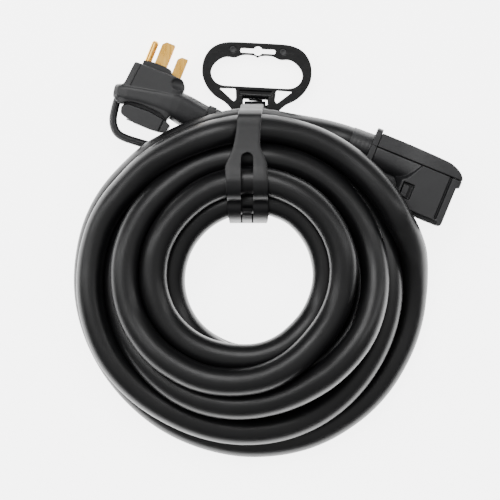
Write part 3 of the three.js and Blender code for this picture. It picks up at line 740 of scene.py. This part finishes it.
def web_recess(outer, grip, holes, low, high):
    """What is taken out between the flanges, from z = low to z = high; bosses, foot and hole rims stay."""
    web = prism(offset(outer, -OUTER_FLANGE), low, high)
    beyond = (low - 1, high + 1)
    for spared in (
        prism(offset(grip, GRIP_FLANGE), *beyond),
        *[rod_piece((x, BOSS_Y, beyond[0]), (x, BOSS_Y, beyond[1]), BOSS_RADIUS) for x in (-BOSS_X, BOSS_X)],
        box_piece(*WINDOW_RIM, beyond),
        prism(HANDLE_FOOT, *beyond),
        *[prism(offset(hole, HOLE_FLANGE), *beyond) for hole in holes],
    ):
        cut(web, spared)
    return web


def make_handle():
    outer, grip = both_halves(HANDLE_HALF_OUTLINE), both_halves(GRIP_HALF_OPENING)
    holes = [rounded([(side * x, y, r) for x, y, r in GUSSET_HOLE]) for side in (1, -1)]
    through, upwards = (-2, HANDLE_DEPTH + 2), (-1, HANDLE_DEPTH + 1)
    body = prism(outer, 0, HANDLE_DEPTH)
    cut(body, prism(grip, *through))
    cut(body, web_recess(outer, grip, holes, HANDLE_DEPTH - WEB_STEP, HANDLE_DEPTH + 3))
    cut(body, web_recess(outer, grip, holes, -3, WEB_STEP))
    cut(
        body,
        *[prism(hole, *through) for hole in holes],
        prism(rounded(WINDOW), *through),
        rod_piece((0, 57.3, through[0]), (0, 57.3, through[1]), 4.6),
        # Room for the strap round the hub bar, its far edge rounded on top.
        box_piece((-12.2, 12.2), (-8, 7.1), upwards),
        box_piece((-12.2, 12.2), (-8, 9.0), (4, upwards[1])),
        rod_piece((-13.2, 9.2, upwards[1]), (13.2, 9.2, upwards[1]), 3.2),
        box_piece((-12.2, -6.4), (0, 8.4), upwards),
        box_piece((6.8, 12.2), (0, 8.4), upwards),
        # A shallow sink across the foot.
        box_piece((-16.5, 16.5), (12.4, 17.4), (HANDLE_DEPTH - 1.2, through[1])),
        *[rod_piece((x, BOSS_Y, through[0]), (x, BOSS_Y, through[1]), BOSS_HOLE) for x in (-BOSS_X, BOSS_X)],
    )
    join(body, rod_piece((-14, 0, HANDLE_DEPTH / 2), (14, 0, HANDLE_DEPTH / 2), 3.55))
    mould(body, voxel=0.45, rounds=7)
    place(body, HANDLE_FRAME, "moulded_carry_handle", "handle", "gloss", "gloss", "carry_handle")


def make_rivet(side, x):
    rivet = rod_piece((x, BOSS_Y, 0.9), (x, BOSS_Y, HANDLE_DEPTH - 0.9), 3.5)
    for z in (0.6, HANDLE_DEPTH - 0.6):
        cut(rivet, rod_piece((x, BOSS_Y, z - 0.8), (x, BOSS_Y, z + 0.8), 1.7))
    mould(rivet, voxel=0.3, rounds=4)
    place(rivet, HANDLE_FRAME, "handle_plug_" + side, "handle", "gloss", "rivet", "handle_rivet_" + side)


make_handle()
make_rivet("left", -BOSS_X)
make_rivet("right", BOSS_X)


# ---------------------------------------------------------------- plug
PLUG_HEIGHT = 55.0
PLUG_Z = PLUG_HEIGHT / 2
PLUG_PROFILE = [
    (-24.8, -6.2, 2.4), (26.2, -5.4, 2), (31.2, -11.5, 3), (31.2, -30, 4), (26.7, -48.4, 2), (17.6, -44.8, 3),
    (1, -43.9, 3), (-9.5, -44.4, 3), (-17.3, -46.5, 2), (-23.3, -51.4, 2), (-31.1, -48.3, 2), (-29.5, -33.6, 3),
    (-26.8, -29.8, 3),
]
BACK_PROFILE = [
    (-21.2, -52.9, 2), (-15.3, -48.6, 2), (8, -47.6, 2), (26.3, -50.2, 1), (31.4, -52.4, 1), (30, -60.4, 1),
    (24.9, -62.8, 2), (14.5, -63.8, 2), (-3.9, -63.7, 2), (-18.8, -60, 2),
]
BACK_ROOT = [
    (-20.6, -54.0), (-19.4, -48.0), (-16.6, -46.0), (-9.5, -43.6), (1, -43.0), (17.4, -43.9), (26.0, -47.4),
    (27, -54),
]
PULL_PATH = [
    (-27.6, -47.4), (-27.3, -51.8), (-26.6, -57), (-25.8, -62), (-24.2, -68), (-21.4, -73.4), (-17.2, -77.8),
    (-12.6, -80.0), (-6, -80.7), (2, -80.3), (12, -79.4), (24, -78), (34, -76.2), (42, -74.2), (48.6, -71.2),
    (53, -67), (55.2, -62), (56, -57), (56, -51.4),
]


def squircle(half_y, half_z, power, sides=56):
    """A section between an ellipse (power 2) and a rectangle (high powers), half sizes in millimetres."""
    section = []
    for k in range(sides):
        c, s = math.cos(2 * math.pi * k / sides), math.sin(2 * math.pi * k / sides)
        reach = (abs(c) ** power + abs(s) ** power) ** (-1 / power)
        section.append((c * reach * half_y * MM, s * reach * half_z * MM))
    return section


def tapered_neck(name, stations):
    """Stations along local x: (x, y of the middle, z of the middle, half width, half height, roundness)."""
    points = [(x * MM, y * MM, z * MM) for x, y, z, *_ in stations]
    return sweep(name, points, [squircle(wide, high, power) for *_, wide, high, power in stations])


def plug_shell():
    head = prism(rounded(PLUG_PROFILE), 0, PLUG_HEIGHT)
    meet(head, upright(prism(rounded([(-33, 0, 12), (33, 0, 12), (33, PLUG_HEIGHT, 12), (-33, PLUG_HEIGHT, 12)]),
                             -1, 60)))
    neck = tapered_neck("neck", [
        (-29.5, -40.4, PLUG_Z, 7.6, 23.0, 4.0), (-27.6, -40.0, PLUG_Z + 0.4, 8.4, 26.8, 4.6),
        (-20, -38.2, PLUG_Z + 0.7, 9.2, 27.9, 5.0), (-8, -35.6, PLUG_Z + 0.7, 9.4, 28.0, 5.0),
        (4, -33.8, PLUG_Z + 0.7, 10.4, 28.0, 5.0), (14, -32.4, PLUG_Z + 0.7, 12.0, 28.0, 4.8),
        (24, -31.8, PLUG_Z + 0.6, 13.8, 27.8, 4.6), (31, -32.0, PLUG_Z + 0.4, 14.9, 27.2, 4.2),
        (38, -32.8, PLUG_Z, 15.5, 26.2, 3.8), (46, -33.8, PLUG_Z, 15.6, 24.7, 3.5),
        (53, -34.6, PLUG_Z, 15.4, 23.0, 3.2), (60.3, -35.3, PLUG_Z, 15.3, 21.0, 3.0),
    ])
    cut(head, *[tapered_neck("thumb_scoop", [
        (11.5, -12.2, z, 0.6, 0.8, 2.0), (14, -12.2, z, 5.4, 7.0, 2.0), (19, -12.0, z, 8.6, 10.4, 2.0),
        (26, -11.0, z, 9.8, 12.2, 2.0), (34, -10.2, z, 10.2, 13.2, 2.0),
    ]) for z in (PLUG_HEIGHT + 8.6, -8.6)])
    join(head, neck)
    # The wiring room, the seat of the face insert and the cable's bore.
    cut(
        head,
        box_piece((-19, 24.6), (-41.6, -8), (PLUG_Z - 19, PLUG_Z + 19)),
        box_piece((-17.6, 24.8), (-9, 2), (PLUG_Z - 22.4, PLUG_Z + 22.4)),
        rod_piece((18, -31.2, PLUG_Z), (60, -35.3, PLUG_Z), 10.6),
    )
    mould(head, voxel=0.6, rounds=5)
    groove = [(-18.0, -4.0), (-17.5, -4.0), (-20.1, -29.8), (-20.6, -29.8)]
    cut(head, *[prism(groove, z - 0.5, z + 0.5) for z in (PLUG_HEIGHT, 0)])
    head.data.shade_smooth()
    place_housing(head, PLUG_FRAME, "plug_moulded_body", "plug_body")


def plug_back():
    """The rear cover: two screw wells, a notch in each side, and a narrower root that meets the body."""
    low, high = 4, PLUG_HEIGHT - 4
    slab = prism(rounded(BACK_PROFILE), low, high)
    cut(slab, *[rod_piece((x, -70, PLUG_Z), (x, -61.2, PLUG_Z), 3.7) for x in (-9, 18)])
    notch = [(23.2, -46), (24.4, -46), (23.2, -66), (22.0, -66)]
    cut(slab, *[prism(notch, z - 2.4, z + 2.4) for z in (high, low)])
    join(slab, prism(BACK_ROOT, low + 5, high - 5))
    bevel(slab, 0.9, 3, 40)
    mould(slab, voxel=0.45, rounds=1)
    place_housing(slab, PLUG_FRAME, "plug_rear_cover", "plug_back_cover")


PULL_SIDES = 64
PULL_RADIUS, PULL_GROOVE = 4.15, 0.45


def pull_loop():
    """A loop of rounded section with shallow grooves along its upper and lower sides."""
    line = catmull_rom(np.array([(x, y, PLUG_Z) for x, y in PULL_PATH], float), 6) * MM
    section = []
    for k in range(PULL_SIDES):
        turn = 2 * math.pi * k / PULL_SIDES
        lengthwise = abs(math.sin(turn)) ** 3 * (0.5 + 0.5 * math.cos(14 * math.acos(math.cos(turn))))
        reach = PULL_RADIUS - PULL_GROOVE * lengthwise
        section.append((reach * 0.96 * math.cos(turn) * MM, reach * 1.2 * math.sin(turn) * MM))
    loop = sweep("loop", line, [section] * len(line))
    place_housing(loop, PLUG_FRAME, "plug_pull_loop", "plug_pull_handle")


COLLAR_BORE = 13.3
SEAM_HALF, SEAM_DEPTH = 0.35, 0.9


def collar_piece(name, frame_matrix, start, end, y, z, half, corner, node, split=False, hollow=None):
    """A square collar round the cable, from x = start to x = end; a split one has a seam above and below."""
    square = [(-half, -half, corner), (half, -half, corner), (half, half, corner), (-half, half, corner)]
    body = prism(rounded(square), 0, end - start)
    body.data.transform(Matrix.Translation((start * MM, y * MM, z * MM)) @ Matrix.Rotation(math.pi / 2, 4, "Z")
                        @ Matrix.Rotation(math.pi / 2, 4, "X"))
    cut(body, rod_piece((start - 1, y, z), (end + 1, y, z), COLLAR_BORE))
    if hollow:
        cut(body, hollow)
    mould(body, voxel=0.45, rounds=5)
    if split:
        cut(body, *[box_piece((start - 1, end + 1), (-SEAM_HALF, SEAM_HALF), span) for span in
                    ((z + half - SEAM_DEPTH, z + half + 2), (z - half - 2, z - half + SEAM_DEPTH))])
        body.data.shade_smooth()
    place_housing(body, frame_matrix, name, node)


RINGS, RING_DEPTH = 5, 0.10
SLEEVE_BORE = CABLE_RADIUS / MM - 0.5


def relief_sleeve(name, frame_matrix, start, end, y, z, radius, tip):
    """A short tapered sleeve with faint rings round the cable, where it leaves the collar."""
    stations = []
    for t in np.linspace(0, 1, 45):
        ring = RING_DEPTH * max(0, math.sin(t * 2 * math.pi * RINGS)) ** 0.5 if 0.06 < t < 0.9 else 0
        size = radius + (tip - radius) * t - ring
        stations.append((start + (end - start) * t, y, z, size, size, 2.0))
    low, high = sorted((start, end))
    sleeve = tapered_neck(name, stations if start < end else stations[::-1])
    cut(sleeve, rod_piece((low - 1, y, z), (high + 1, y, z), SLEEVE_BORE, sides=64))
    sleeve.data.shade_smooth()
    place_housing(sleeve, frame_matrix, name)


plug_shell()
plug_back()
pull_loop()
# The hollow in the collar's side lets the handle pass as it swings.
collar_piece("plug_square_collar", PLUG_FRAME, 60.5, 68.5, -35.6, PLUG_Z, 17, 4.5, "plug_collar",
             hollow=rod_piece((58, -14.6, 18.5), (71, -14.6, 18.5), 5.4))
relief_sleeve("plug_relief_sleeve", PLUG_FRAME, 68.8, 92, -35.7, PLUG_Z - 0.6, 16.6, 15.0)


# ---------------------------------------------------------------- connector
CONNECTOR_HEIGHT = 54.0
CONNECTOR_Z = CONNECTOR_HEIGHT / 2
CONNECTOR_AXIS_Y = -4.8
CONNECTOR_PROFILE = [
    (29, 14.7, 1), (60, 13.6, 1), (76, 13.0, 4), (84, 10.0, 4), (89.4, 6.6, 3), (92.6, 2.4, 2), (92.6, -7.8, 0.6),
    (89.5, -8.2, 0.4), (89.5, -48.4, 1.6), (88.0, -50.4, 1), (70, -50.6, 1), (61, -50.4, 1), (53, -46.8, 3),
    (35, -46.6, 4), (33.5, -26, 3), (29, -22, 2),
]
COVER_PROFILE = [
    (1, -2), (1, 14.6, 1), (30, 14.6), (60, 13.8, 1), (76, 13.0, 4), (84, 10.0, 4), (89.4, 6.6, 3), (92.6, 2.4, 2),
    (92.6, -7.8, 0.6), (89.5, -8.2, 0.4), (89.5, -2),
]
COVER_SIDE = [(0, 4.8), (28, 4.4, 8), (58, 0.2, 12), (93.4, 0, 6)]
BODY_SIDE = [(22, 0, 6), (93.4, 0, 6)]
NECK_WEB = [(6, -18), (38, -18), (38, -46), (31, -44)]
LATCH_OUTLINE = [(39.8, -36.2, 0.8), (45.8, -36.2, 0.8), (45.8, -24.2, 0.8), (39.8, -24.2, 0.8)]
LATCH_GROOVE = [(39, -33.4), (46.6, -33.4), (46.6, -32.8), (39, -32.8)]
# The shoulder between neck and body: its line at the broad faces is SHOULDER_LEAN further on than lower down.
SHOULDER_LEAN = 9
SHOULDER = [(4, 30), (43, 30), (43, -1), (34, -17), (29, -21), (29, -60), (4, -60)]
PARTING = 0.22      # half the gap between body and cover


def profile_solid(profile, side):
    """A profile in x and y, trimmed to a side outline in x and z that is mirrored about mid height."""
    solid = prism(rounded(profile), 0, CONNECTOR_HEIGHT)
    far_side = [(x, CONNECTOR_HEIGHT - z, *r) for x, z, *r in reversed(side)]
    return meet(solid, upright(prism(rounded(side + far_side), -30, 60)))


def hollow_out(shell):
    """Clears the room for the contacts, wires and clamp, and the cable's bore."""
    return cut(
        shell,
        box_piece((36.5, 57), (-39.4, 9.4), (11, CONNECTOR_HEIGHT - 11)),
        box_piece((55, 86), (-39.4, 8.4), (5, CONNECTOR_HEIGHT - 5)),
        box_piece((37.5, 85), (-60, -38), (6, CONNECTOR_HEIGHT - 6)),
        rod_piece((0, CONNECTOR_AXIS_Y, CONNECTOR_Z), (40, CONNECTOR_AXIS_Y, CONNECTOR_Z), 10.6),
    )


def connector_shell():
    """Body and neck as one hollow solid, before the cover's side is cut away."""
    head = profile_solid(CONNECTOR_PROFILE, BODY_SIDE)
    for inner, outer in ((CONNECTOR_HEIGHT - 10, CONNECTOR_HEIGHT + 2), (10, -2)):
        wedge = prism(SHOULDER, *sorted((inner, outer)))
        for vert in wedge.data.vertices:
            if abs(vert.co.z - outer * MM) < 0.0001:
                vert.co.x += SHOULDER_LEAN * MM
        cut(head, wedge)
    join(head, tapered_neck("neck", [
        (x, CONNECTOR_AXIS_Y, CONNECTOR_Z, wide, high, power) for x, wide, high, power in
        ((1, 19.3, 22.0, 2.5), (24, 19.3, 22.4, 2.6), (38, 19.3, 23.6, 2.7), (52, 18.6, 25.4, 2.8))
    ]))
    join(head, prism(NECK_WEB, 9, CONNECTOR_HEIGHT - 12))
    return hollow_out(head)


def connector_body():
    body = connector_shell()
    cut(body, box_piece((-10, 100), (-PARTING, 40), (-5, CONNECTOR_HEIGHT + 5)))
    for z in (CONNECTOR_HEIGHT, 0):
        cut(body, box_piece((79.8, 82.4), (-45.2, 2), (z - 4.0, z + 4.0)))
        cut(body, box_piece((50, 84.4), (-60, -47.2), (z - 2.2, z + 2.2)))
    cut(body, box_piece((38.6, 50.4), (-37.4, -21.6), (CONNECTOR_HEIGHT - 8, CONNECTOR_HEIGHT + 2)))
    mould(body, voxel=0.6, rounds=4)
    cut(body, *[box_piece(x, y, (z - deep, z + deep)) for z in (CONNECTOR_HEIGHT, 0) for x, y, deep in
                (((53, 79.2), (-47.0, -46.3), 1.2), ((60, 84.5), (-49.6, -49.0), 3.4))])
    body.data.shade_smooth()
    place_housing(body, CONNECTOR_FRAME, "connector_moulded_body", "connector_body")


def connector_latch():
    latch = prism(rounded(LATCH_OUTLINE), CONNECTOR_HEIGHT - 8, CONNECTOR_HEIGHT - 0.4)
    cut(latch, prism(LATCH_GROOVE, CONNECTOR_HEIGHT - 1, CONNECTOR_HEIGHT + 1))
    mould(latch, voxel=0.35, rounds=3)
    place_housing(latch, CONNECTOR_FRAME, "connector_release_latch", "connector_latch")


def connector_cover():
    cover = hollow_out(profile_solid(COVER_PROFILE, COVER_SIDE))
    cut(cover, box_piece((-10, 100), (-80, PARTING), (-5, CONNECTOR_HEIGHT + 5)))
    cut(cover, *[rod_piece((x, 12.2, CONNECTOR_Z), (x, 20, CONNECTOR_Z), 3.6) for x in (42, 60)])
    mould(cover, voxel=0.6, rounds=4)
    place_housing(cover, CONNECTOR_FRAME, "connector_moulded_cover", "connector_cover")


connector_body()
connector_cover()
connector_latch()
collar_piece("connector_split_collar", CONNECTOR_FRAME, -5.2, 0.8, CONNECTOR_AXIS_Y, CONNECTOR_Z, 23, 7,
             "connector_collar", split=True)
relief_sleeve("connector_relief_sleeve", CONNECTOR_FRAME, -5.3, -27, CONNECTOR_AXIS_Y, CONNECTOR_Z + 0.4,
              15.8, 14.9)


# ---------------------------------------------------------------- the cord and the CAD nodes that stay
# The plug's own CAD nodes, the pieces that replace the others, and both sleeves; nothing below uses this list.
REPLACED_PLUG_NODES = ("plug_body", "plug_back_cover", "plug_pull_handle", "plug_collar")
CORD_PIECES = [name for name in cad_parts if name.startswith("plug_") and name not in REPLACED_PLUG_NODES]
CORD_PIECES += ["plug_moulded_body", "plug_rear_cover", "plug_pull_loop", "plug_square_collar",
                "plug_relief_sleeve", "connector_relief_sleeve"]
# Parts of the names of the CAD nodes that have each finish; the rest are housing.
NODE_FINISH = {
    "insulation": ("hot_conductor_a", "hot_conductor_b", "neutral_conductor", "ground_conductor"),
    "brass": ("ground_pin", "hot_blade_a", "hot_blade_b", "neutral_blade", "_contact"),
    "steel": ("screw", "clamp"),
    "face": ("face_insert", "rivet"),
    "strap": ("strap",),
    "gloss": ("carry_handle",),
}


def finish_for(node):
    for finish, marks in NODE_FINISH.items():
        if any(mark in node for mark in marks):
            return finish
    return "housing"


for node_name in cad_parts:
    node_object = bpy.data.objects.get(node_name)
    if node_object is not None and node_object.type == "MESH":
        node_object.data.materials.clear()
        node_object.data.materials.append(MATERIALS[finish_for(node_name)])


# ---------------------------------------------------------------- floor and lights
# A white floor that gives off light, most of it near the part: the glow, and where it falls off, in metres.
FLOOR_GLOW, OUTER_GLOW = 5.0, 1.6
GLOW_EDGE = (0.37, 0.60)
FLOOR_DROP = 0.0006


def add_floor():
    verts = [(-3, -3, 0), (3, -3, 0), (3, 3, 0), (-3, 3, 0)]
    floor = new_object("floor", verts, [(0, 1, 2, 3)], smooth=False)
    floor.location.z = -FLOOR_DROP
    n = Nodes(bpy.data.materials.new("floor"))
    where = n.add("ShaderNodeTexCoord").outputs["Object"]
    n.link(n.ramp(n.noise(where, 6.0), [(0.3, (0.93, 0.93, 0.93)), (0.7, (0.97, 0.97, 0.97))]),
           n.shader.inputs["Base Color"])
    n.link(n.spread(n.noise(where, 90.0), 0.7, 0.85), n.shader.inputs["Roughness"])
    n.shader.inputs["Emission Color"].default_value = (1, 1, 1, 1)
    length = n.add("ShaderNodeVectorMath", operation="LENGTH")
    n.link(where, length.inputs[0])
    n.link(n.spread(length.outputs["Value"], FLOOR_GLOW, OUTER_GLOW, *GLOW_EDGE),
           n.shader.inputs["Emission Strength"])
    floor.data.materials.append(n.owner)


def add_light(name, place, size, power):
    """An area light that points at the middle of the floor."""
    light = bpy.data.lights.new(name, "AREA")
    light.shape = "RECTANGLE"
    light.size, light.size_y = size
    light.energy = power
    piece = bpy.data.objects.new(name, light)
    SCENE.collection.objects.link(piece)
    piece.location = place
    piece.rotation_euler = (-Vector(place)).to_track_quat("-Z", "Y").to_euler()


def add_world(horizon, zenith):
    """A white sky, weak near the horizon and stronger overhead."""
    world = bpy.data.worlds.new("world")
    n = Nodes(world, "Background")
    height = n.add("ShaderNodeSeparateXYZ")
    n.link(n.add("ShaderNodeTexCoord").outputs["Generated"], height.inputs["Vector"])
    n.link(n.spread(height.outputs["Z"], horizon, zenith, 0.25, 0.92), n.shader.inputs["Strength"])
    n.shader.inputs["Color"].default_value = (1, 1, 1, 1)
    SCENE.world = world


add_floor()
add_world(0.12, 0.75)
add_light("softbox", (-0.35, 1.15, 2.0), (1.4, 1.0), 30)
add_light("left_strip", (-1.5, 0.2, 1.3), (0.4, 2.0), 14)
add_light("right_strip", (1.5, 0.4, 1.3), (0.4, 2.0), 10)
